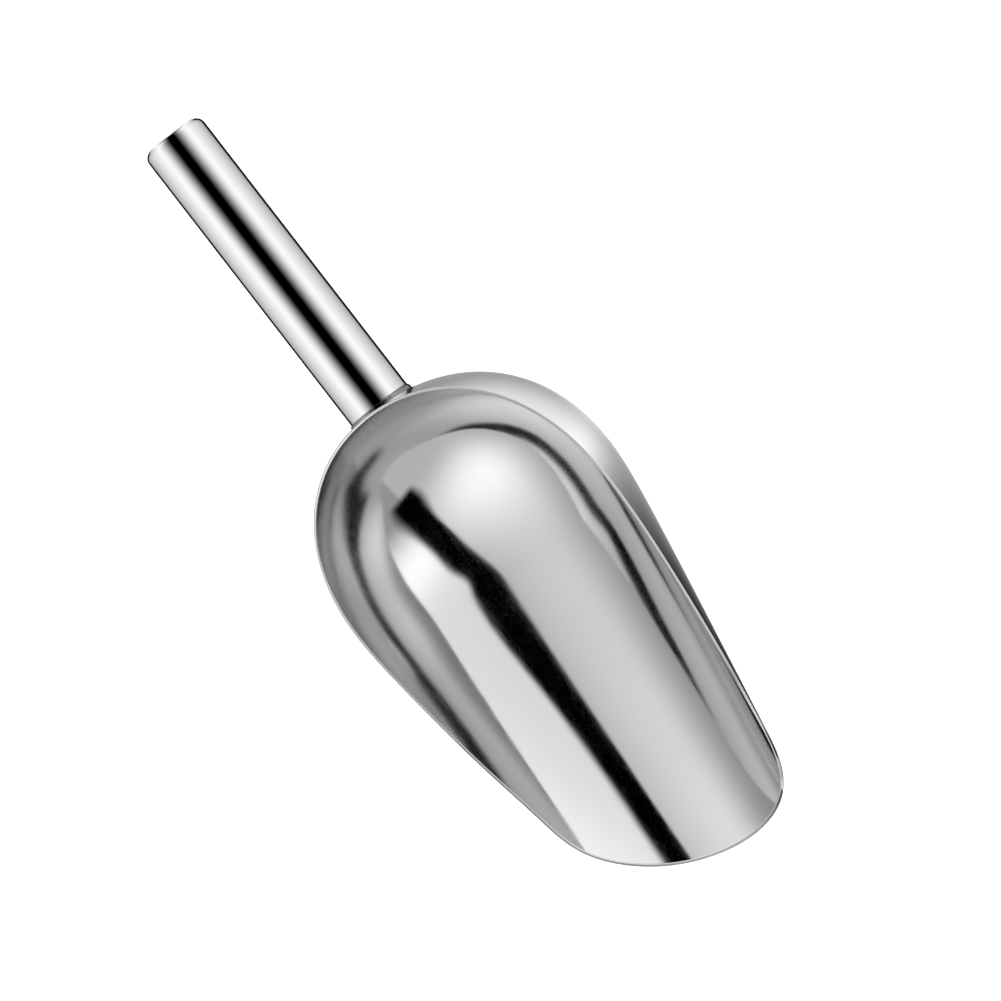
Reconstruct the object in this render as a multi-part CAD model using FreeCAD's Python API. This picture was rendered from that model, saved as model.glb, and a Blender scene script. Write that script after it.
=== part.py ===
import FreeCAD, Part
import math
import os

# Ice scoop: a pressed sheet bowl with a round back, and a hollow tube handle welded to that back.
# Millimetres. +X runs from the handle to the lip, +Z is up, and the trough's keel lies along X.
# Working frame: x = 0 is where the round back meets the trough, z = 0 is the keel.
# The finished parts are tilted to the pose in which the scoop rests on a table, and moved so that
# the origin is the bottom centre of the whole scoop.

# Bowl
SHEET = 1.0                 # sheet thickness
HALF_WIDTH = 55.7           # outside half width of the trough at x = 0
DEPTH = 48.2                # keel to the widest level of the section
BACK_LENGTH = 57.4          # x = 0 back to the rearmost point
TROUGH_LENGTH = 114.0       # x = 0 forward to the tip of the lip
TAPER = 0.106               # how fast the half width narrows towards the lip
TAPER_BLEND = 18.9          # length over which the taper sets in
BACK_POWER = 2.2            # fullness of the round back; 2 is an ellipse
OVERRUN = 6.0               # the untrimmed form runs on past the lip
BACK_STATIONS = 14          # sections that the surface passes through, on the back and the trough
TROUGH_STATIONS = 10

# Side view of the rim, from behind the bowl to the tip of the lip: (x, z)
RIM_LINE = [(-66, 69.0), (-54.5, 65.7), (-17.2, 55.0), (22.8, 43.4), (51.3, 36.1), (74.1, 30.1),
            (91.2, 24.2), (102.6, 14.5), (110, 5.7), (TROUGH_LENGTH, 0)]
TRIM_DEPTH = 30.0           # how far the trimming tool reaches below the tip of the lip

# Handle
TUBE_RADIUS = 11.0
TUBE_WALL = 0.8
HANDLE_LENGTH = 108.0       # front end of the tube to the crown of the cap
HANDLE_RISE = 11.9          # degrees, up towards the rear
HANDLE_HEIGHT = 53.2        # level of the handle's axis at its front end
NECK_GAP = 0.5              # the tube's axis starts this far behind the bowl's rearmost point

# End cap
CAP_LENGTH = 7.0
CAP_CORNER = 3.0
CROWN_RADIUS = 60.0         # low crown of the end face, tangent to the corner

# Welds
SEAM_DEPTH = 0.6            # V groove between cap and tube, half as wide as it is deep each side
NECK_BEVEL = 0.5            # depth of the bevel on the front end of the tube
BEAD_ON_TUBE = 1.0          # length of that bevel, which the neck bead fills
BEAD_PROUD = 0.6            # how far the bead stands out from the tube
CREST_PROUD = 0.48          # the bead's round shoulder passes this far out from the tube
CREST_ON_TUBE = 0.3         # and this far back along it
BEAD_REACH = 9.0            # the untrimmed bead runs this far into the bowl's wall

# The round back carries the centre of mass, so the scoop rests on it with its nose up
REST_TILT = 12.8            # degrees


def vec(x, y, z):
    return FreeCAD.Vector(x, y, z)


def section_path(half_width, depth, back):
    """Curve of (x, half width, half depth) from the rearmost point to past the lip."""
    points = []
    for step in range(BACK_STATIONS):
        turn = math.pi / 2 * step / BACK_STATIONS
        x = -back * math.cos(turn) ** (2 / BACK_POWER)
        fullness = math.sin(turn) ** (2 / BACK_POWER)
        points.append(vec(x, half_width * fullness, depth * fullness))
    for step in range(TROUGH_STATIONS + 1):
        x = (TROUGH_LENGTH + OVERRUN) * step / TROUGH_STATIONS
        narrowing = TAPER * x * x / (x + TAPER_BLEND)
        points.append(vec(x, half_width - narrowing, depth))
    path = Part.BSplineCurve()
    path.interpolate(points)
    return path


def bullet(half_width, depth, back):
    """Solid with elliptical sections: domed at the rear, flat where it is cut past the lip."""
    path = section_path(half_width, depth, back)
    # A full ellipse as a rational curve of nine poles, starting at the top, where the bowl is open.
    corner = math.sqrt(0.5)
    ring = [(0, 1, 1), (1, 1, corner), (1, 0, 1), (1, -1, corner), (0, -1, 1),
            (-1, -1, corner), (-1, 0, 1), (-1, 1, corner), (0, 1, 1)]
    poles = []
    weights = []
    for pole in path.getPoles():
        poles.append([vec(pole.x, pole.y * across, DEPTH + pole.z * up) for across, up, _ in ring])
        weights.append([weight for _, _, weight in ring])
    surface = Part.BSplineSurface()
    surface.buildFromPolesMultsKnots(
        poles, path.getMultiplicities(), [3, 2, 2, 2, 3], path.getKnots(), [0, 1, 2, 3, 4],
        False, False, path.Degree, 2, weights)
    skin = Part.Face(surface)
    front = surface.uIso(path.LastParameter)
    lid = Part.Face(Part.Wire(front.toShape()))
    shell = Part.makeShell([skin, lid])
    shell.sewShape()
    solid = Part.makeSolid(shell)
    if solid.Volume < 0:
        solid.reverse()
    return solid


def rim_tool():
    """Prism that holds everything under the rim line."""
    line = Part.BSplineCurve()
    line.interpolate([vec(x, 0, z) for x, z in RIM_LINE])
    first = vec(RIM_LINE[0][0], 0, RIM_LINE[0][1])
    last = vec(RIM_LINE[-1][0], 0, RIM_LINE[-1][1])
    under_last = last - vec(0, 0, TRIM_DEPTH)
    under_first = vec(first.x, 0, under_last.z)
    sides = [Part.LineSegment(last, under_last), Part.LineSegment(under_last, under_first),
             Part.LineSegment(under_first, first)]
    wire = Part.Wire([line.toShape()] + [side.toShape() for side in sides])
    prism = Part.Face(wire).extrude(vec(0, 4 * HALF_WIDTH, 0))
    prism.translate(vec(0, -2 * HALF_WIDTH, 0))
    return prism


def bowl(outside):
    """Pressed sheet: the outside form less the inside form, kept under the rim line."""
    inside = bullet(HALF_WIDTH - SHEET, DEPTH - SHEET, BACK_LENGTH - SHEET)
    return outside.cut(inside).common(rim_tool()).Solids[0]


def on_handle(shape):
    """Place a shape turned about +Z so that its axis is the handle's, running to the rear."""
    shape.rotate(vec(0, 0, 0), vec(0, 1, 0), HANDLE_RISE - 90)
    shape.translate(vec(-BACK_LENGTH - NECK_GAP, 0, HANDLE_HEIGHT))
    return shape


def turned(outline):
    """Solid of revolution about +Z from a closed outline of edges in the XZ plane."""
    face = Part.Face(Part.Wire([edge.toShape() for edge in outline]))
    return face.revolve(vec(0, 0, 0), vec(0, 0, 1), 360)


def polygon(points):
    """Closed chain of straight edges through (radius, height) points."""
    corners = [vec(radius, 0, height) for radius, height in points]
    return [Part.LineSegment(a, b) for a, b in zip(corners, corners[1:] + corners[:1])]


def handle_tube():
    """Straight tube, cut square and bevelled outside at both ends for its welds."""
    bore = TUBE_RADIUS - TUBE_WALL
    rear = HANDLE_LENGTH - CAP_LENGTH
    return on_handle(turned(polygon([
        (bore, 0), (TUBE_RADIUS - NECK_BEVEL, 0), (TUBE_RADIUS, BEAD_ON_TUBE),
        (TUBE_RADIUS, rear - SEAM_DEPTH), (TUBE_RADIUS - SEAM_DEPTH, rear), (bore, rear)])))


def end_cap_weld():
    """Ground seam: a ring of V section, flush with the tube and the cap."""
    rear = HANDLE_LENGTH - CAP_LENGTH
    return on_handle(turned(polygon([
        (TUBE_RADIUS, rear - SEAM_DEPTH), (TUBE_RADIUS, rear + SEAM_DEPTH),
        (TUBE_RADIUS - SEAM_DEPTH, rear)])))


def arc(centre, radius, start, end):
    """Arc in the XZ plane about (radius, height) centre, between angles above the X axis."""
    points = [vec(centre[0] + radius * math.cos(turn), 0, centre[1] + radius * math.sin(turn))
              for turn in (start, (start + end) / 2, end)]
    return Part.Arc(*points)


def end_cap():
    """Pressed cap: a short skirt, a rounded corner and a low crown, all one thickness."""
    rear = HANDLE_LENGTH - CAP_LENGTH
    corner_radius = TUBE_RADIUS - CAP_CORNER
    between = CROWN_RADIUS - CAP_CORNER
    lean = math.asin(corner_radius / between)
    crown_centre = (0, HANDLE_LENGTH - CROWN_RADIUS)
    corner_centre = (corner_radius, crown_centre[1] + between * math.cos(lean))
    corners = []
    crowns = []
    for inset in (0, TUBE_WALL):
        corners.append(arc(corner_centre, CAP_CORNER - inset, 0, math.pi / 2 - lean))
        crowns.append(arc(crown_centre, CROWN_RADIUS - inset, math.pi / 2 - lean, math.pi / 2))
    bevel = vec(TUBE_RADIUS - SEAM_DEPTH, 0, rear)
    skirt = vec(TUBE_RADIUS, 0, rear + SEAM_DEPTH)
    inner_skirt = vec(TUBE_RADIUS - TUBE_WALL, 0, rear)
    return on_handle(turned([
        Part.LineSegment(bevel, skirt),
        Part.LineSegment(skirt, corners[0].StartPoint),
        corners[0],
        crowns[0],
        Part.LineSegment(crowns[0].EndPoint, crowns[1].EndPoint),
        crowns[1],
        corners[1],
        Part.LineSegment(corners[1].StartPoint, inner_skirt),
        Part.LineSegment(inner_skirt, bevel)]))


def neck_weld(outside):
    """Bead that fills the wedge between the square end of the tube and the bowl's back."""
    bore = TUBE_RADIUS - TUBE_WALL
    proud = TUBE_RADIUS + BEAD_PROUD
    toe = vec(TUBE_RADIUS, 0, BEAD_ON_TUBE)
    crest = vec(TUBE_RADIUS + CREST_PROUD, 0, CREST_ON_TUBE)
    root = vec(proud, 0, -BEAD_ON_TUBE)
    corners = [root, vec(proud, 0, -BEAD_REACH), vec(bore, 0, -BEAD_REACH), vec(bore, 0, 0),
               vec(TUBE_RADIUS - NECK_BEVEL, 0, 0), toe]
    edges = [Part.LineSegment(a, b) for a, b in zip(corners, corners[1:])]
    ring = on_handle(turned(edges + [Part.Arc(toe, crest, root)]))
    return ring.cut(outside).Solids[0]


def at_rest(parts):
    """Tilt every part nose up and set the whole scoop on z = 0, centred over the origin."""
    for shape in parts.values():
        shape.rotate(vec(0, 0, 0), vec(0, 1, 0), -REST_TILT)
    box = Part.makeCompound(list(parts.values())).optimalBoundingBox()
    for shape in parts.values():
        shape.translate(vec(-box.Center.x, -box.Center.y, -box.ZMin))


def scoop():
    """All parts by node name, in the resting pose."""
    outside = bullet(HALF_WIDTH, DEPTH, BACK_LENGTH)
    parts = {
        "bowl": bowl(outside),
        "handle_tube": handle_tube(),
        "end_cap": end_cap(),
        "end_cap_weld": end_cap_weld(),
        "neck_weld": neck_weld(outside),
    }
    at_rest(parts)
    return parts


os.makedirs("parts", exist_ok=True)
for name, shape in scoop().items():
    shape.exportStep(f"parts/{name}.step")
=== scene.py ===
import math

import bpy
import numpy as np
from mathutils import Matrix, Vector


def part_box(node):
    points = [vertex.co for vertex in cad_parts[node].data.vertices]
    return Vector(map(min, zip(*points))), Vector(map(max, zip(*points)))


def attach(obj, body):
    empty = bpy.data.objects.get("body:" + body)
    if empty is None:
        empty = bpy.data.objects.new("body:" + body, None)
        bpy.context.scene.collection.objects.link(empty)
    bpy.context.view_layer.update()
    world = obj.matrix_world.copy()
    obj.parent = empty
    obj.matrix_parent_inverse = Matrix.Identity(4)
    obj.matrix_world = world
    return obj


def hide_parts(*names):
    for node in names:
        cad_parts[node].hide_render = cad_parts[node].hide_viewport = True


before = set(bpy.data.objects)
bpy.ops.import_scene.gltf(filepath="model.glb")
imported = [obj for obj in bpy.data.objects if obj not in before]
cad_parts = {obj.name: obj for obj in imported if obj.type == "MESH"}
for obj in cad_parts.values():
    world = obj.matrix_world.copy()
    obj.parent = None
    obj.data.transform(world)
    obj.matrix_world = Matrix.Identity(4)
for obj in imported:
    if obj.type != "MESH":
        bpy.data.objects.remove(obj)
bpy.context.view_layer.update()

MM = 0.001

# The scoop's own dimensions, in millimetres. The keel lies along X, and the widest section is
# at x = 0.
SHEET = 1.0
HALF_WIDTH = 55.7
DEPTH = 48.2
BACK_LENGTH = 57.4
TROUGH_LENGTH = 114.0
TAPER = 0.106
TAPER_BLEND = 18.9
BACK_POWER = 2.2
RIM_LINE = [(-66, 69.0), (-54.5, 65.7), (-17.2, 55.0), (22.8, 43.4), (51.3, 36.1), (74.1, 30.1),
            (91.2, 24.2), (102.6, 14.5), (110, 5.7), (TROUGH_LENGTH, 0)]
TUBE_RADIUS = 11.0
TUBE_WALL = 0.8
HANDLE_LENGTH = 108.0
HANDLE_RISE = 11.9
HANDLE_HEIGHT = 53.2
NECK_GAP = 0.5
CAP_LENGTH = 7.0
CAP_CORNER = 3.0
CROWN_RADIUS = 60.0
SEAM_DEPTH = 0.6
NECK_BEVEL = 0.5
BEAD_ON_TUBE = 1.0
BEAD_PROUD = 0.6
BEAD_REACH = 9.0
BEAD_TOE = 0.35             # where the visible bead ends on the tube
REST_TILT = 12.8

# The sheet's sheared edge is softened on both sides
EDGE_RADIUS = 0.36
EDGE_STEPS = 6

# Mesh of the bowl
BACK_COLUMNS = 64
MIDDLE_COLUMNS = 64
LIP_COLUMNS = 48
ROWS = 128
LIP_START = 74.0            # forward of this the mesh fans out round the lip
LIP_SAMPLES = 600           # places on the lip's outline from which its columns are picked
EDGE_LEAST = 1e-9           # keeps a power of 0 out of the normal at the very back
BISECTIONS = 44

# The round back meets the rim between these turns from its lowest point, in radians
BACK_TURN_LOW = 0.8
BACK_TURN_HIGH = 0.97 * math.pi

# Turned pieces and the neck bead
SEGMENTS = 240
SHARP_ANGLE = 35.0
TUBE_RINGS = 40
CORNER_RINGS = 16
CROWN_RINGS = 12
BEAD_SEGMENTS = 720
BEAD_RINGS = 14
BEAD_SINK = 0.02            # the bead's foot is this far into the sheet
RIPPLES = 34
RIPPLE_DEPTH = 0.12
RIPPLE_LAG = 6.0            # how far a ripple's ends trail its middle
RIPPLE_WANDER = 0.9         # how far the ripples' spacing wanders, and how often round the neck
RIPPLE_WANDERS = 3
RIPPLE_HOLD = 0.9           # above this share of the bead's height the ripples fade no further
BEAD_ROUNDING = 2.2         # the bead rounds off over the top 1 / 2.2 of its height


# ---------------------------------------------------------------- frames of reference

def resting(points):
    """Working axes (keel level) to the frame's axes (tilted to rest)."""
    tilt = math.radians(REST_TILT)
    x = points[..., 0] * math.cos(tilt) - points[..., 2] * math.sin(tilt)
    z = points[..., 0] * math.sin(tilt) + points[..., 2] * math.cos(tilt)
    return np.stack([x, points[..., 1], z], axis=-1)


def on_handle(points, move=True):
    """Points or directions about a handle standing on +Z, to the working axes."""
    turn = math.radians(90 - HANDLE_RISE)
    x = points[..., 0] * math.cos(turn) - points[..., 2] * math.sin(turn)
    z = points[..., 0] * math.sin(turn) + points[..., 2] * math.cos(turn)
    start = np.array([-BACK_LENGTH - NECK_GAP, 0, HANDLE_HEIGHT]) if move else 0
    return np.stack([x, points[..., 1], z], axis=-1) + start


# ---------------------------------------------------------------- the bowl's form

def spline(points):
    """Natural cubic through (position, value) points, as a function of position."""
    x = np.array([p[0] for p in points], float)
    z = np.array([p[1] for p in points], float)
    gap = np.diff(x)
    size = len(x)
    matrix = np.eye(size)
    right = np.zeros(size)
    for k in range(1, size - 1):
        matrix[k, k - 1:k + 2] = gap[k - 1], 2 * (gap[k - 1] + gap[k]), gap[k]
        right[k] = 6 * ((z[k + 1] - z[k]) / gap[k] - (z[k] - z[k - 1]) / gap[k - 1])
    bend = np.linalg.solve(matrix, right)

    def height(at):
        k = np.clip(np.searchsorted(x, at) - 1, 0, size - 2)
        left = at - x[k]
        rest = x[k + 1] - at
        step = gap[k]
        return ((bend[k] * rest ** 3 + bend[k + 1] * left ** 3) / (6 * step)
                + (z[k] / step - bend[k] * step / 6) * rest
                + (z[k + 1] / step - bend[k + 1] * step / 6) * left)
    return height


RIM = spline(RIM_LINE)


def bisect(low, high, too_far):
    """Largest value between low and high that isn't too far."""
    for _ in range(BISECTIONS):
        middle = (low + high) / 2
        far = too_far(middle)
        high = np.where(far, middle, high)
        low = np.where(far, low, middle)
    return (low + high) / 2


class Form:
    """The bowl's outside form, or the inside one when inset by the sheet's thickness."""

    def __init__(self, inset):
        self.half_width = HALF_WIDTH - inset
        self.depth = DEPTH - inset
        self.back = BACK_LENGTH - inset

    def width_at(self, x):
        ahead = np.maximum(x, 0)
        return self.half_width - TAPER * ahead * ahead / (ahead + TAPER_BLEND)

    def trough_point(self, x, turn):
        """Point of the section at x, turned from the keel; negative turns are the other side."""
        return np.stack([x, self.width_at(x) * np.sin(turn), DEPTH - self.depth * np.cos(turn)], -1)

    def back_point(self, heading, turn):
        """Point of the round back at a heading (0 is straight back) and a turn from the keel."""
        level = np.cos(turn) ** 2
        along = np.cos(heading)
        across = np.sin(heading)

        def outside(reach):
            behind = np.clip(reach * along / self.back, 0, 1)
            edge = (1 - behind ** BACK_POWER) ** (2 / BACK_POWER)
            return (reach * across / self.half_width) ** 2 + level > edge
        reach = bisect(np.zeros_like(turn), np.full_like(turn, 2 * self.half_width), outside)
        return np.stack([-reach * along, reach * across, DEPTH - self.depth * np.cos(turn)], -1)

    def behind(self, y, z):
        """x of the round back at (y, z)."""
        fullness = (y / self.half_width) ** 2 + ((z - DEPTH) / self.depth) ** 2
        return -self.back * np.clip(1 - fullness ** (BACK_POWER / 2), 0, 1) ** (1 / BACK_POWER)

    def normal(self, points):
        """Unit outward normal of the form at points on it."""
        x, y, z = points[..., 0], points[..., 1], points[..., 2]
        width = self.width_at(x)
        ahead = np.maximum(x, 0)
        slope = -TAPER * ahead * (ahead + 2 * TAPER_BLEND) / (ahead + TAPER_BLEND) ** 2
        behind = np.clip(-np.minimum(x, 0) / self.back, 0, 1)
        edge = np.maximum(1 - behind ** BACK_POWER, EDGE_LEAST)
        along = np.where(
            x >= 0,
            -2 * y * y * slope / width ** 3,
            -2 * edge ** (2 / BACK_POWER - 1) * behind ** (BACK_POWER - 1) / self.back)
        result = np.stack([along, 2 * y / width ** 2, 2 * (z - DEPTH) / self.depth ** 2], -1)
        return result / np.linalg.norm(result, axis=-1, keepdims=True)

    def rim_turn_at(self, x):
        """How far the section at x turns from the keel before it meets the rim line."""
        return np.arccos(np.clip((DEPTH - RIM(x)) / self.depth, -1, 1))

    def tip(self):
        """Where the rim line meets the form's keel."""
        keel = DEPTH - self.depth
        return float(bisect(np.array(LIP_START), np.array(TROUGH_LENGTH), lambda x: RIM(x) < keel))

    def back_rim_turn(self, heading):
        """How far the round back turns from its lowest point to the rim, for each heading."""
        def above(turn):
            point = self.back_point(heading, turn)
            return point[..., 2] > RIM(point[..., 0])
        return bisect(np.full_like(heading, BACK_TURN_LOW),
                      np.full_like(heading, BACK_TURN_HIGH), above)


def square_to_disc(u, v):
    """Even grid on a square to an even grid on a disc."""
    return u * np.sqrt(1 - v * v / 2), v * np.sqrt(1 - u * u / 2)


def lip_station(form, share):
    """x on the lip's outline at each share of the way round it, from its tip to LIP_START."""
    tip = form.tip()
    x = tip - (tip - LIP_START) * np.linspace(0, 1, LIP_SAMPLES) ** 2
    point = form.trough_point(x, form.rim_turn_at(x))
    run = np.concatenate([[0], np.cumsum(np.linalg.norm(np.diff(point, axis=0), axis=1))])
    return np.interp(share * run[-1], run, x)


def bowl_grid(form, pull):
    """Points over the form in columns from the back to the lip, stopping pull short of the rim."""
    rows = np.linspace(-1, 1, ROWS + 1)

    # Round back
    u, v = np.meshgrid(np.linspace(-1, 0, BACK_COLUMNS + 1)[:-1], rows, indexing="ij")
    du, dv = square_to_disc(u, v)
    heading = np.arctan2(dv, -du)
    limit = form.back_rim_turn(heading) - pull / form.depth
    back = form.back_point(heading, np.hypot(du, dv) * limit)

    # Trough
    x, v = np.meshgrid(np.linspace(0, LIP_START, MIDDLE_COLUMNS + 1), rows, indexing="ij")
    middle = form.trough_point(x, v * (form.rim_turn_at(x) - pull / form.depth))

    # Lip
    u, v = np.meshgrid(np.linspace(0, 1, LIP_COLUMNS + 1)[1:], rows, indexing="ij")
    du, dv = square_to_disc(u, v)
    heading = np.arctan2(dv, du)
    x_rim = lip_station(form, np.abs(heading) / (math.pi / 2))
    turn_rim = form.rim_turn_at(x_rim) * np.sign(heading)
    length = np.hypot(x_rim - LIP_START, form.width_at(x_rim) * turn_rim)
    share = np.hypot(du, dv) * (1 - pull / np.maximum(length, 1))
    lip = form.trough_point(LIP_START + share * (x_rim - LIP_START), share * turn_rim)
    return np.concatenate([back, middle, lip])


# ---------------------------------------------------------------- mesh helpers

def make_object(name, points, normals, faces):
    """Smooth object from working-axis points (mm) and their normals."""
    mesh = bpy.data.meshes.new(name)
    points = resting(points) * MM + PLACE
    normals = resting(normals)
    mesh.from_pydata(points.tolist(), [], [tuple(int(i) for i in face) for face in faces])
    mesh.validate()
    mesh.shade_smooth()
    mesh.normals_split_custom_set_from_vertices(normals.tolist())
    mesh.update()
    piece = bpy.data.objects.new(name, mesh)
    bpy.context.scene.collection.objects.link(piece)
    return piece


def band(first, second):
    """Quads between two closed loops of indices."""
    count = len(first)
    return [(first[k], first[(k + 1) % count], second[(k + 1) % count], second[k])
            for k in range(count)]


def perimeter(columns, rows):
    """(column, row) pairs round the edge of a grid, in order."""
    path = [(c, 0) for c in range(columns)]
    path += [(columns - 1, r) for r in range(1, rows)]
    path += [(c, rows - 1) for c in range(columns - 2, -1, -1)]
    path += [(0, r) for r in range(rows - 2, 0, -1)]
    return path


def place():
    """Shift in metres from the tilted working axes to the frame's origin."""
    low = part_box("bowl")[0]
    grid = resting(bowl_grid(Form(0), 0).reshape(-1, 3)) * MM
    return np.array([low[0] - grid[:, 0].min(), 0, low[2] - grid[:, 2].min()])


PLACE = place()


# ---------------------------------------------------------------- pieces

def finish_piece(piece, node):
    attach(piece, "root")
    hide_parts(node)
    return piece


def bowl_sheet():
    """Polished sheet: the outside, the inside and the softened edge between them."""
    outer, inner = Form(0), Form(SHEET)
    grids = [bowl_grid(outer, EDGE_RADIUS), bowl_grid(inner, EDGE_RADIUS)]
    columns, rows = grids[0].shape[:2]
    size = columns * rows
    points = [grid.reshape(-1, 3) for grid in grids]
    normals = [outer.normal(points[0]), -inner.normal(points[1])]
    faces = []
    for c in range(columns - 1):
        for r in range(rows - 1):
            a, b = c * rows + r, (c + 1) * rows + r
            faces.append((a, a + 1, b + 1, b))
            faces.append((size + a, size + b, size + b + 1, size + a + 1))

    path = np.array([c * rows + r for c, r in perimeter(columns, rows)])
    rings = []
    ring_normals = []
    sides = []
    for form, grid_points, grid_normals in zip((outer, inner), points, normals):
        start = grid_points[path]
        normal = grid_normals[path]
        way = bowl_grid(form, 0).reshape(-1, 3)[path] - start
        way -= normal * np.sum(way * normal, axis=1, keepdims=True)
        way /= np.linalg.norm(way, axis=1, keepdims=True)
        side = []
        for step in range(1, EDGE_STEPS + 1):
            bend = math.pi / 2 * step / EDGE_STEPS
            turned = normal * math.cos(bend) + way * math.sin(bend)
            side.append((start + (turned - normal) * EDGE_RADIUS, turned))
        sides.append(side)
    for ring, ring_normal in sides[0] + sides[1][::-1]:
        rings.append(ring)
        ring_normals.append(ring_normal)
    count = len(path)
    loops = [path] + [2 * size + k * count + np.arange(count) for k in range(len(rings))]
    loops.append(size + path)
    for first, second in zip(loops, loops[1:]):
        faces += band(first, second)
    piece = make_object("bowl_sheet", np.concatenate(points + rings),
                        np.concatenate(normals + ring_normals), faces)
    return finish_piece(piece, "bowl")


def sharp_object(name, points, faces):
    """Object from working-axis points whose smooth normals break only at real edges."""
    mesh = bpy.data.meshes.new(name)
    mesh.from_pydata((resting(points) * MM + PLACE).tolist(), [], faces)
    mesh.validate()
    mesh.shade_smooth()
    mesh.set_sharp_from_angle(angle=math.radians(SHARP_ANGLE))
    piece = bpy.data.objects.new(name, mesh)
    bpy.context.scene.collection.objects.link(piece)
    return piece


def revolved(name, outline):
    """Solid of revolution on the handle from an outline of (radius, height) corners.

    The outline runs anticlockwise seen with the radius to the right and the height up, and
    closes on itself or, with a radius of 0 at a corner, on the axis.
    """
    turn = 2 * math.pi * np.arange(SEGMENTS) / SEGMENTS
    points = []
    loops = []
    for radius, height in outline:
        if radius == 0:
            loops.append(np.full(SEGMENTS, len(points)))
            points.append((0, 0, height))
            continue
        loops.append(len(points) + np.arange(SEGMENTS))
        points += [(radius * math.cos(a), radius * math.sin(a), height) for a in turn]
    faces = []
    for first, second in zip(loops, loops[1:] + loops[:1]):
        for face in band(first, second):
            corners = list(dict.fromkeys(int(i) for i in face))
            if len(corners) > 2:
                faces.append(corners)
    return sharp_object(name, on_handle(np.array(points, float)), faces)


def steps_between(start, end, count):
    """Points that divide a straight run of an outline, without its ends."""
    return [tuple(np.array(start) + (np.array(end) - np.array(start)) * k / count)
            for k in range(1, count)]


def handle_tube():
    """Straight tube, bevelled outside at both ends; its ends are inside the welds."""
    bore = TUBE_RADIUS - TUBE_WALL
    rear = HANDLE_LENGTH - CAP_LENGTH
    front_edge = (TUBE_RADIUS, BEAD_TOE)
    rear_edge = (TUBE_RADIUS, rear - SEAM_DEPTH)
    outline = [(bore, 0), (TUBE_RADIUS - NECK_BEVEL, 0), front_edge]
    outline += steps_between(front_edge, rear_edge, TUBE_RINGS)
    outline += [rear_edge, (TUBE_RADIUS - SEAM_DEPTH, rear), (bore, rear)]
    outline += steps_between((bore, rear), (bore, 0), TUBE_RINGS)
    return finish_piece(revolved("handle_tube_polished", outline), "handle_tube")


def end_cap():
    """Pressed cap: a short skirt, a rounded corner and a low crown, all one thickness."""
    rear = HANDLE_LENGTH - CAP_LENGTH
    corner_radius = TUBE_RADIUS - CAP_CORNER
    between = CROWN_RADIUS - CAP_CORNER
    lean = math.asin(corner_radius / between)
    crown_height = HANDLE_LENGTH - CROWN_RADIUS
    corner_height = crown_height + between * math.cos(lean)

    def shell(inset):
        run = []
        for a in np.linspace(0, math.pi / 2 - lean, CORNER_RINGS):
            reach = CAP_CORNER - inset
            run.append((corner_radius + reach * math.cos(a), corner_height + reach * math.sin(a)))
        for a in np.linspace(math.pi / 2 - lean, math.pi / 2, CROWN_RINGS)[1:-1]:
            reach = CROWN_RADIUS - inset
            run.append((reach * math.cos(a), crown_height + reach * math.sin(a)))
        return run + [(0, HANDLE_LENGTH - inset)]
    skirt = [(TUBE_RADIUS - TUBE_WALL, rear), (TUBE_RADIUS - SEAM_DEPTH, rear),
             (TUBE_RADIUS, rear + SEAM_DEPTH)]
    outline = skirt + shell(0) + shell(TUBE_WALL)[::-1]
    return finish_piece(revolved("end_cap_polished", outline), "end_cap")


def end_seam():
    """Ground weld between tube and cap, flush with both."""
    rear = HANDLE_LENGTH - CAP_LENGTH
    outline = [(TUBE_RADIUS - SEAM_DEPTH, rear), (TUBE_RADIUS, rear - SEAM_DEPTH),
               (TUBE_RADIUS, rear + SEAM_DEPTH)]
    return finish_piece(revolved("end_seam_ground", outline), "end_cap_weld")


def level_on_bowl(radius, turn):
    """Height along the handle at which the bowl's outside lies under each (radius, turn)."""
    form = Form(0)

    def clear(height):
        point = on_handle(np.stack([radius * np.cos(turn), radius * np.sin(turn), height], -1))
        return point[..., 0] < form.behind(point[..., 1], point[..., 2])
    return bisect(np.full_like(turn, -BEAD_REACH), np.full_like(turn, BEAD_ON_TUBE), clear)


def neck_bead():
    """Weld bead laid round the neck in overlapping ripples, from the tube down to the bowl."""
    turn = 2 * math.pi * np.arange(BEAD_SEGMENTS) / BEAD_SEGMENTS
    bore = TUBE_RADIUS - TUBE_WALL
    foot = level_on_bowl(np.full_like(turn, TUBE_RADIUS + BEAD_PROUD), turn) - BEAD_SINK
    inner_foot = level_on_bowl(np.full_like(turn, bore), turn) - BEAD_SINK
    top = np.full_like(turn, BEAD_TOE)
    rings = [(np.full_like(turn, bore), inner_foot)]
    for step in range(BEAD_RINGS + 1):
        share = step / BEAD_RINGS
        lag = RIPPLE_LAG * (share - 0.5) ** 2
        wander = RIPPLE_WANDER * np.sin(RIPPLE_WANDERS * turn)
        wave = 0.5 + 0.5 * np.cos(RIPPLES * turn + lag + wander)
        height = top + (foot - top) * (1 - share)
        fade = math.sin(math.pi * min(share, RIPPLE_HOLD))
        rounding = math.sin(math.pi / 2 * min(1, (1 - share) * BEAD_ROUNDING))
        radius = TUBE_RADIUS + (BEAD_PROUD - RIPPLE_DEPTH * wave * fade) * rounding
        rings.append((radius, height))
    rings += [(np.full_like(turn, TUBE_RADIUS - NECK_BEVEL), np.zeros_like(turn)),
              (np.full_like(turn, bore), np.zeros_like(turn))]
    points = [on_handle(np.stack([radius * np.cos(turn), radius * np.sin(turn), height], -1))
              for radius, height in rings]
    loops = [k * BEAD_SEGMENTS + np.arange(BEAD_SEGMENTS) for k in range(len(points))]
    faces = []
    for first, second in zip(loops, loops[1:] + loops[:1]):
        faces += [tuple(int(i) for i in face) for face in band(first, second)]
    piece = sharp_object("neck_weld_bead", np.concatenate(points), faces)
    return finish_piece(piece, "neck_weld")


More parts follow.
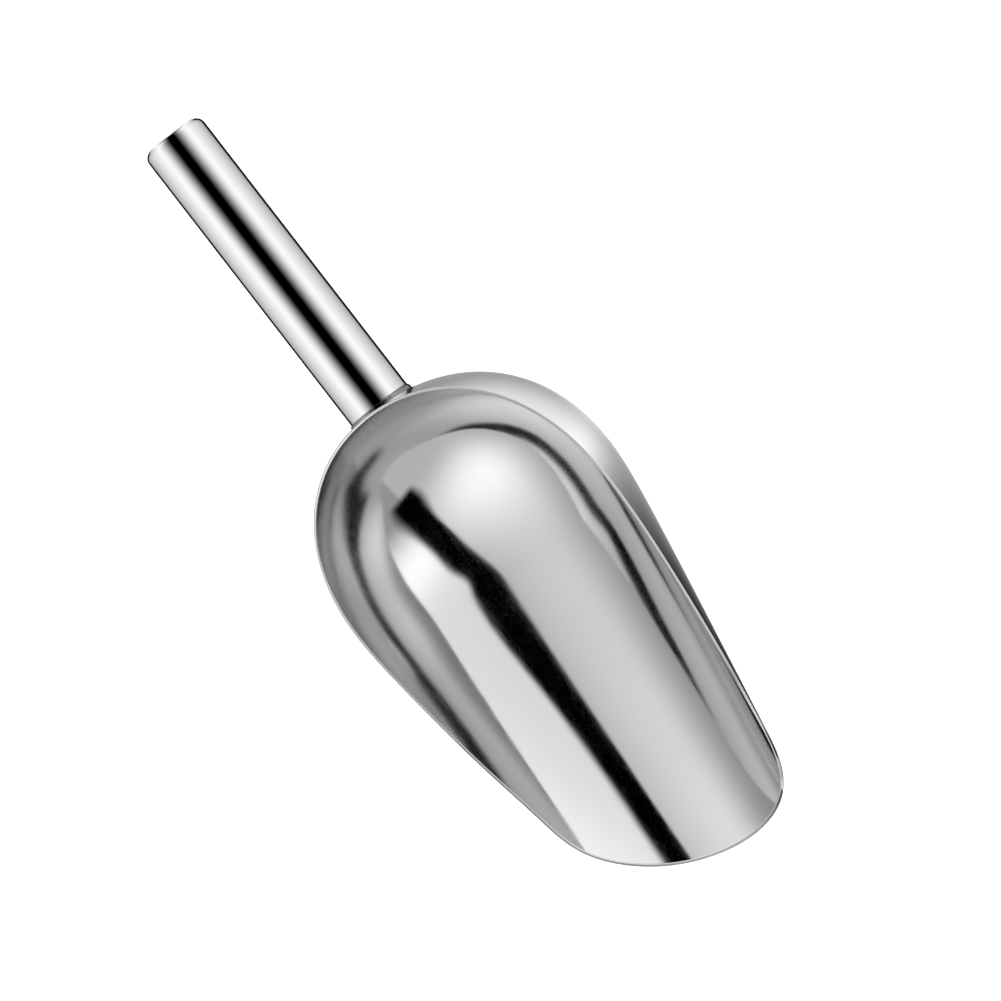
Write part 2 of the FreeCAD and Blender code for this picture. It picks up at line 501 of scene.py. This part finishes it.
BOWL = bowl_sheet()
TUBE = handle_tube()
CAP = end_cap()
SEAM = end_seam()
BEAD = neck_bead()


# ---------------------------------------------------------------- camera

VIEW_TARGET = Vector((0.01102, 0.00615, 0.030))
VIEW_AZIMUTH = 88.834
VIEW_ELEVATION = 56.9365
VIEW_ROLL = -127.2448
VIEW_DISTANCE = 1.2616
SENSOR_MM = 36.0
LENS_MM = 143.86


def camera():
    data = bpy.data.cameras.new("camera")
    data.sensor_width = SENSOR_MM
    data.lens = LENS_MM
    item = bpy.data.objects.new("camera", data)
    bpy.context.scene.collection.objects.link(item)
    azimuth, elevation, roll = (math.radians(a) for a in (VIEW_AZIMUTH, VIEW_ELEVATION, VIEW_ROLL))
    back = Vector((math.cos(elevation) * math.cos(azimuth), math.cos(elevation) * math.sin(azimuth),
                   math.sin(elevation)))
    level = Vector((-back.y, back.x, 0)).normalized()
    upright = back.cross(level)
    right = level * math.cos(roll) + upright * math.sin(roll)
    up = back.cross(right)
    turn = Matrix((right, up, back)).transposed()
    item.matrix_world = Matrix.Translation(VIEW_TARGET + back * VIEW_DISTANCE) @ turn.to_4x4()
    bpy.context.scene.camera = item


camera()


# ---------------------------------------------------------------- studio

# The scoop lies in a light tent with a narrow dark slit in line with the camera. Angles are
# degrees round the tent from the slit's middle, negative on its left, and lengths are metres
# along it, towards the lip. A ramp is (amount, from, to), and a hump is (height, middle, spread
# before it, spread after it).
TENT_CENTRE = np.array([0.04, -0.008, 0.025])
TENT_AXIS = np.array([0.98415, 0.15557, -0.08509])
TENT_UP = np.array([-0.01505, 0.55145, 0.83408])
TENT_RADIUS = 0.5
TENT_LENGTH = 8.0
TENT_TURNS = 720
TENT_STATIONS = 400
TENT_CROWD = 4               # how strongly the stations crowd towards the scoop

# Half widths of the slit on its two sides, and how soft its edges are
SLIT_LEFT = 10.5
SLIT_LEFT_BEHIND = 5, -0.3, 0
SLIT_LEFT_AHEAD = 7.5, 0.15, 0.5
SLIT_RIGHT = 9.3
SLIT_RIGHT_BEHIND = 5.5, -0.24, -0.17
SLIT_RIGHT_AHEAD = 8, 0.02, 0.5
SLIT_RIGHT_KINK = 4, -0.14, 0.03, 0.045
SLIT_END = 0.60, 0.78        # the slit fades out between these lengths
SOFT_LEFT = 1.3
SOFT_RIGHT = 3.2
SOFT_AHEAD = 4.5, 0.1, 0.4

# Brightness of the left wall: a level inside one band round the tent, and a ground outside it
LEFT_LEVEL = 0.64
LEFT_BEHIND = 0.20, -0.2, 0.6
LEFT_PEAK = 0.63, 0.12, 0.17, 0.20
LEFT_GROUND = 0.35
LEFT_GROUND_AHEAD = 0.31, 0.15, 0.6
LEFT_BAND = 54, 40, 21
LEFT_LOSS = 0.8, 125, 150

# Brightness of the right wall, with a dark part low down ahead and a faint patch below the scoop
RIGHT_LEVEL = 0.42
RIGHT_BEHIND = 0.58, 0.1, 0.5
RIGHT_PEAK = 0.45, 0.09, 0.10, 0.14
RIGHT_GAIN = 0.2, 50, 95
RIGHT_LOSS = 0.65, 92, 158
DARK = 0.97                  # share of the light that the darkest parts lose
DARK_ROUND = 50, 80
DARK_ALONG = -0.03, 0.17
PATCH_ROUND = 0.35, 165, 20, 20
PATCH_ALONG = -0.03, 0.04, 0.03

# A close sleeve of light round the handle. Its ramps are in degrees between the direction of
# view and that of its reflection, and its lengths are metres from the tube's front end.
SLEEVE_RADIUS = 0.0128
SLEEVE_ENDS = -0.002, 0.300
SLEEVE_STATIONS = 121
SLEEVE_SHIFT = -1.4          # how far its middle is turned from the slit's
SLEEVE_PEAK = 1.42
SLEEVE_RISE = 10, 62
SLEEVE_FALL = 64, 136
SLEEVE_LOSS = 0.58
SLEEVE_EDGE = 136, 142
SLEEVE_FLARE = 2, 0.110, 0.125    # its stripe widens past the cap
FACING_STEPS = 721

FLOOR_REACH = 4.0
FLOOR_TONE = 0.86
FLOOR_ROUGHNESS = 0.9
FLOOR_GLOW = 0.95


def smoothstep(value, low, high):
    share = np.clip((value - low) / (high - low), 0, 1)
    return share * share * (3 - 2 * share)


def rise(value, amount, low, high):
    """Ramp from 0 up to an amount."""
    return amount * smoothstep(value, low, high)


def fall(value, amount, low, high):
    """Ramp from an amount down to 0."""
    return amount * (1 - smoothstep(value, low, high))


def bump(value, middle, before, after):
    """Smooth hump of height 1, with its own spread on each side."""
    spread = np.where(value < middle, before, after)
    return np.exp(-0.5 * ((value - middle) / spread) ** 2)


def hump(value, height, middle, before, after):
    return height * bump(value, middle, before, after)


def slit_half_width(angle, along):
    """The slit opens out towards both its ends, and its right edge has one kink."""
    left = SLIT_LEFT + fall(along, *SLIT_LEFT_BEHIND) + rise(along, *SLIT_LEFT_AHEAD)
    right = SLIT_RIGHT + fall(along, *SLIT_RIGHT_BEHIND) + rise(along, *SLIT_RIGHT_AHEAD)
    right -= hump(along, *SLIT_RIGHT_KINK)
    return np.where(angle < 0, left, right)


def tent_glow(angle, along):
    """Brightness of the tent's wall, which is brightest beside the scoop."""
    away = np.abs(angle)
    level = LEFT_LEVEL + fall(along, *LEFT_BEHIND) + hump(along, *LEFT_PEAK)
    ground = LEFT_GROUND + rise(along, *LEFT_GROUND_AHEAD)
    left = ground + (level - ground) * bump(away, *LEFT_BAND)
    left *= 1 - rise(away, *LEFT_LOSS)
    right = RIGHT_LEVEL + fall(along, *RIGHT_BEHIND) + hump(along, *RIGHT_PEAK)
    right *= (1 + rise(away, *RIGHT_GAIN)) * (1 - rise(away, *RIGHT_LOSS))
    right *= 1 - DARK * smoothstep(away, *DARK_ROUND) * smoothstep(along, *DARK_ALONG)
    right += hump(away, *PATCH_ROUND) * bump(along, *PATCH_ALONG)
    edge = slit_half_width(angle, along)
    soft = np.where(angle < 0, SOFT_LEFT, SOFT_RIGHT) + rise(along, *SOFT_AHEAD)
    dark = (1 - smoothstep(away, edge - soft, edge + soft)) * (1 - smoothstep(along, *SLIT_END))
    return np.where(angle < 0, left, right) * (1 - dark)


def handle_glow(angle, along):
    """Brightness of the sleeve round the handle, from where on it a reflection lands."""
    facing = np.radians(np.linspace(-90, 90, FACING_STEPS))
    landing = 2 * facing - np.arcsin(TUBE_RADIUS * MM / SLEEVE_RADIUS * np.sin(facing))
    turn = np.abs(np.degrees(np.interp(np.radians(angle + SLEEVE_SHIFT), landing, 2 * facing)))
    turn = turn / (1 + rise(along, *SLEEVE_FLARE))
    start, end = SLEEVE_FALL
    glow = SLEEVE_PEAK * smoothstep(turn, *SLEEVE_RISE)
    glow *= 1 - SLEEVE_LOSS * np.clip((turn - start) / (end - start), 0, 1)
    return glow * (1 - DARK * smoothstep(turn, *SLEEVE_EDGE))


def glow_material(name):
    """Light of the strength in the mesh's glow attribute, given off by the front of its faces."""
    material = bpy.data.materials.new(name)
    material.use_nodes = True
    nodes, links = material.node_tree.nodes, material.node_tree.links
    nodes.clear()
    output = nodes.new("ShaderNodeOutputMaterial")
    light = nodes.new("ShaderNodeEmission")
    strength = nodes.new("ShaderNodeAttribute")
    strength.attribute_name = "glow"
    links.new(strength.outputs["Fac"], light.inputs["Strength"])
    clear = nodes.new("ShaderNodeBsdfTransparent")
    side_seen = nodes.new("ShaderNodeNewGeometry")
    mix = nodes.new("ShaderNodeMixShader")
    links.new(side_seen.outputs["Backfacing"], mix.inputs["Fac"])
    links.new(light.outputs[0], mix.inputs[1])
    links.new(clear.outputs[0], mix.inputs[2])
    links.new(mix.outputs[0], output.inputs["Surface"])
    material.cycles.emission_sampling = "NONE"
    return material


def light_tent(name, centre, axis, radius, ends, stations, glow, crowd=0):
    """Open cylinder that shows only in reflections and in the light it gives."""
    axis = axis / np.linalg.norm(axis)
    up = TENT_UP - axis * (TENT_UP @ axis)
    up = up / np.linalg.norm(up)
    side = np.cross(up, axis)
    angle = np.linspace(-180, 180, TENT_TURNS, endpoint=False)
    spacing = np.linspace(-1, 1, stations)
    if crowd:
        spacing = np.sinh(crowd * spacing) / math.sinh(crowd)
    start, end = ends
    along = (start + end) / 2 + (end - start) / 2 * spacing
    angle_grid, along_grid = np.meshgrid(angle, along, indexing="ij")
    turn = np.radians(angle_grid)[..., None]
    outward = np.cos(turn) * up + np.sin(turn) * side
    points = centre + along_grid[..., None] * axis + radius * outward
    faces = []
    for t in range(TENT_TURNS):
        for k in range(stations - 1):
            a, b = t * stations + k, (t + 1) % TENT_TURNS * stations + k
            faces.append((a, b, b + 1, a + 1))
    mesh = bpy.data.meshes.new(name)
    mesh.from_pydata(points.reshape(-1, 3).tolist(), [], faces)
    level = mesh.attributes.new("glow", "FLOAT", "POINT")
    level.data.foreach_set("value", glow(angle_grid, along_grid).reshape(-1).astype(np.float32))
    mesh.materials.append(glow_material(name))
    tent = bpy.data.objects.new(name, mesh)
    bpy.context.scene.collection.objects.link(tent)
    tent.visible_camera = False
    return tent


def lights():
    light_tent("light_tent", TENT_CENTRE, TENT_AXIS, TENT_RADIUS,
               (-TENT_LENGTH / 2, TENT_LENGTH / 2), TENT_STATIONS, tent_glow, TENT_CROWD)
    start = resting(on_handle(np.array([0.0, 0, 0]))) * MM + PLACE
    rearward = resting(on_handle(np.array([0.0, 0, 1]), move=False))
    sleeve = light_tent("handle_tent", start, rearward, SLEEVE_RADIUS, SLEEVE_ENDS,
                        SLEEVE_STATIONS, handle_glow)
    sleeve.visible_diffuse = False
    sleeve.visible_shadow = False


def floor_and_world():
    mesh = bpy.data.meshes.new("floor")
    corners = [(-1, -1), (1, -1), (1, 1), (-1, 1)]
    mesh.from_pydata([(x * FLOOR_REACH, y * FLOOR_REACH, 0) for x, y in corners],
                     [], [(0, 1, 2, 3)])
    floor = bpy.data.objects.new("floor", mesh)
    bpy.context.scene.collection.objects.link(floor)
    floor.visible_glossy = False
    material = bpy.data.materials.new("floor")
    material.use_nodes = True
    shader = material.node_tree.nodes["Principled BSDF"]
    shader.inputs["Base Color"].default_value = (FLOOR_TONE, FLOOR_TONE, FLOOR_TONE, 1)
    shader.inputs["Roughness"].default_value = FLOOR_ROUGHNESS
    shader.inputs["Specular IOR Level"].default_value = 0.0
    shader.inputs["Emission Color"].default_value = (1, 1, 1, 1)
    shader.inputs["Emission Strength"].default_value = FLOOR_GLOW
    mesh.materials.append(material)

    world = bpy.data.worlds.new("studio")
    bpy.context.scene.world = world
    world.use_nodes = True
    world.node_tree.nodes["Background"].inputs[0].default_value = (1, 1, 1, 1)
    bpy.context.scene.view_settings.view_transform = "Standard"


lights()
floor_and_world()


# ---------------------------------------------------------------- materials

# Noise as (scale, detail), and how far it is stretched along the three axes
LINES = 900, 3
HAZE = 35, 4
WAVES = 55, 1
LENGTHWISE = 0.12, 1, 1
EVEN = 1, 1, 1

# Which part of the noise counts, and the shares of the finish's roughness that it stands for
LINES_RANGE = 0.3, 0.75
LINES_ROUGHNESS = 0.6, 1.3
HAZE_RANGE = 0.35, 0.75
HAZE_ROUGHNESS = 0.0, 0.9

# The finish's tone varies with the haze between these shares of it
TONE_LOW = 0.97, 0.97, 0.965
TONE_HIGH = 1.02, 1.02, 1.02
LINE_DEPTH = 2.5e-7          # metres

# Between these heights above the keel, in metres, the bowl's wall becomes rougher
SATIN_FROM = 0.024
SATIN_FULL = 0.045


def steel(name, tone, roughness, grain, waviness, satin=0.0):
    """Polished stainless steel: fine polish lines, faint cloudy haze and slow waves."""
    material = bpy.data.materials.new(name)
    material.use_nodes = True
    nodes, links = material.node_tree.nodes, material.node_tree.links
    shader = nodes["Principled BSDF"]
    shader.inputs["Metallic"].default_value = 1.0
    position = nodes.new("ShaderNodeTexCoord").outputs["Object"]

    def noise(kind, stretch):
        mapping = nodes.new("ShaderNodeMapping")
        mapping.inputs["Scale"].default_value = stretch
        links.new(position, mapping.inputs["Vector"])
        texture = nodes.new("ShaderNodeTexNoise")
        texture.inputs["Scale"].default_value, texture.inputs["Detail"].default_value = kind
        links.new(mapping.outputs["Vector"], texture.inputs["Vector"])
        return texture.outputs["Fac"]

    def ranged(value, source, target):
        node = nodes.new("ShaderNodeMapRange")
        node.inputs["From Min"].default_value, node.inputs["From Max"].default_value = source
        node.inputs["To Min"].default_value, node.inputs["To Max"].default_value = target
        links.new(value, node.inputs["Value"])
        return node.outputs["Result"]

    def added(first, second):
        node = nodes.new("ShaderNodeMath")
        node.operation = "ADD"
        links.new(first, node.inputs[0])
        links.new(second, node.inputs[1])
        return node.outputs[0]

    def bumped(height, distance):
        node = nodes.new("ShaderNodeBump")
        node.inputs["Strength"].default_value = 1.0
        node.inputs["Distance"].default_value = distance
        links.new(height, node.inputs["Height"])
        return node

    lines = noise(LINES, grain)
    haze = noise(HAZE, EVEN)
    rough = added(ranged(lines, LINES_RANGE, [roughness * share for share in LINES_ROUGHNESS]),
                  ranged(haze, HAZE_RANGE, [roughness * share for share in HAZE_ROUGHNESS]))
    if satin:
        tilt = math.radians(REST_TILT)
        upward = Vector((-math.sin(tilt), 0, math.cos(tilt)))
        height = nodes.new("ShaderNodeVectorMath")
        height.operation = "DOT_PRODUCT"
        height.inputs[1].default_value = upward
        links.new(position, height.inputs[0])
        keel = upward.dot(Vector(PLACE))
        rough = added(rough, ranged(height.outputs["Value"],
                                    (keel + SATIN_FROM, keel + SATIN_FULL), (0.0, satin)))
    links.new(rough, shader.inputs["Roughness"])

    colour = nodes.new("ShaderNodeMix")
    colour.data_type = "RGBA"
    colour.inputs["A"].default_value = [tone * share for share in TONE_LOW] + [1]
    colour.inputs["B"].default_value = [tone * share for share in TONE_HIGH] + [1]
    links.new(haze, colour.inputs["Factor"])
    links.new(colour.outputs["Result"], shader.inputs["Base Color"])

    slow = bumped(noise(WAVES, EVEN), waviness)
    fine = bumped(lines, LINE_DEPTH)
    links.new(slow.outputs["Normal"], fine.inputs["Normal"])
    links.new(fine.outputs["Normal"], shader.inputs["Normal"])
    return material


SHEET_STEEL = steel("polished_sheet_steel", tone=0.68, roughness=0.06, grain=LENGTHWISE,
                    waviness=4e-5, satin=0.10)
TUBE_STEEL = steel("polished_tube_steel", tone=0.68, roughness=0.04, grain=LENGTHWISE,
                   waviness=8e-6)
BEAD_STEEL = steel("weld_bead_steel", tone=0.22, roughness=0.25, grain=EVEN, waviness=6e-5)
for piece, material in ((BOWL, SHEET_STEEL), (TUBE, TUBE_STEEL), (CAP, TUBE_STEEL),
                        (SEAM, TUBE_STEEL), (BEAD, BEAD_STEEL)):
    piece.data.materials.clear()
    piece.data.materials.append(material)
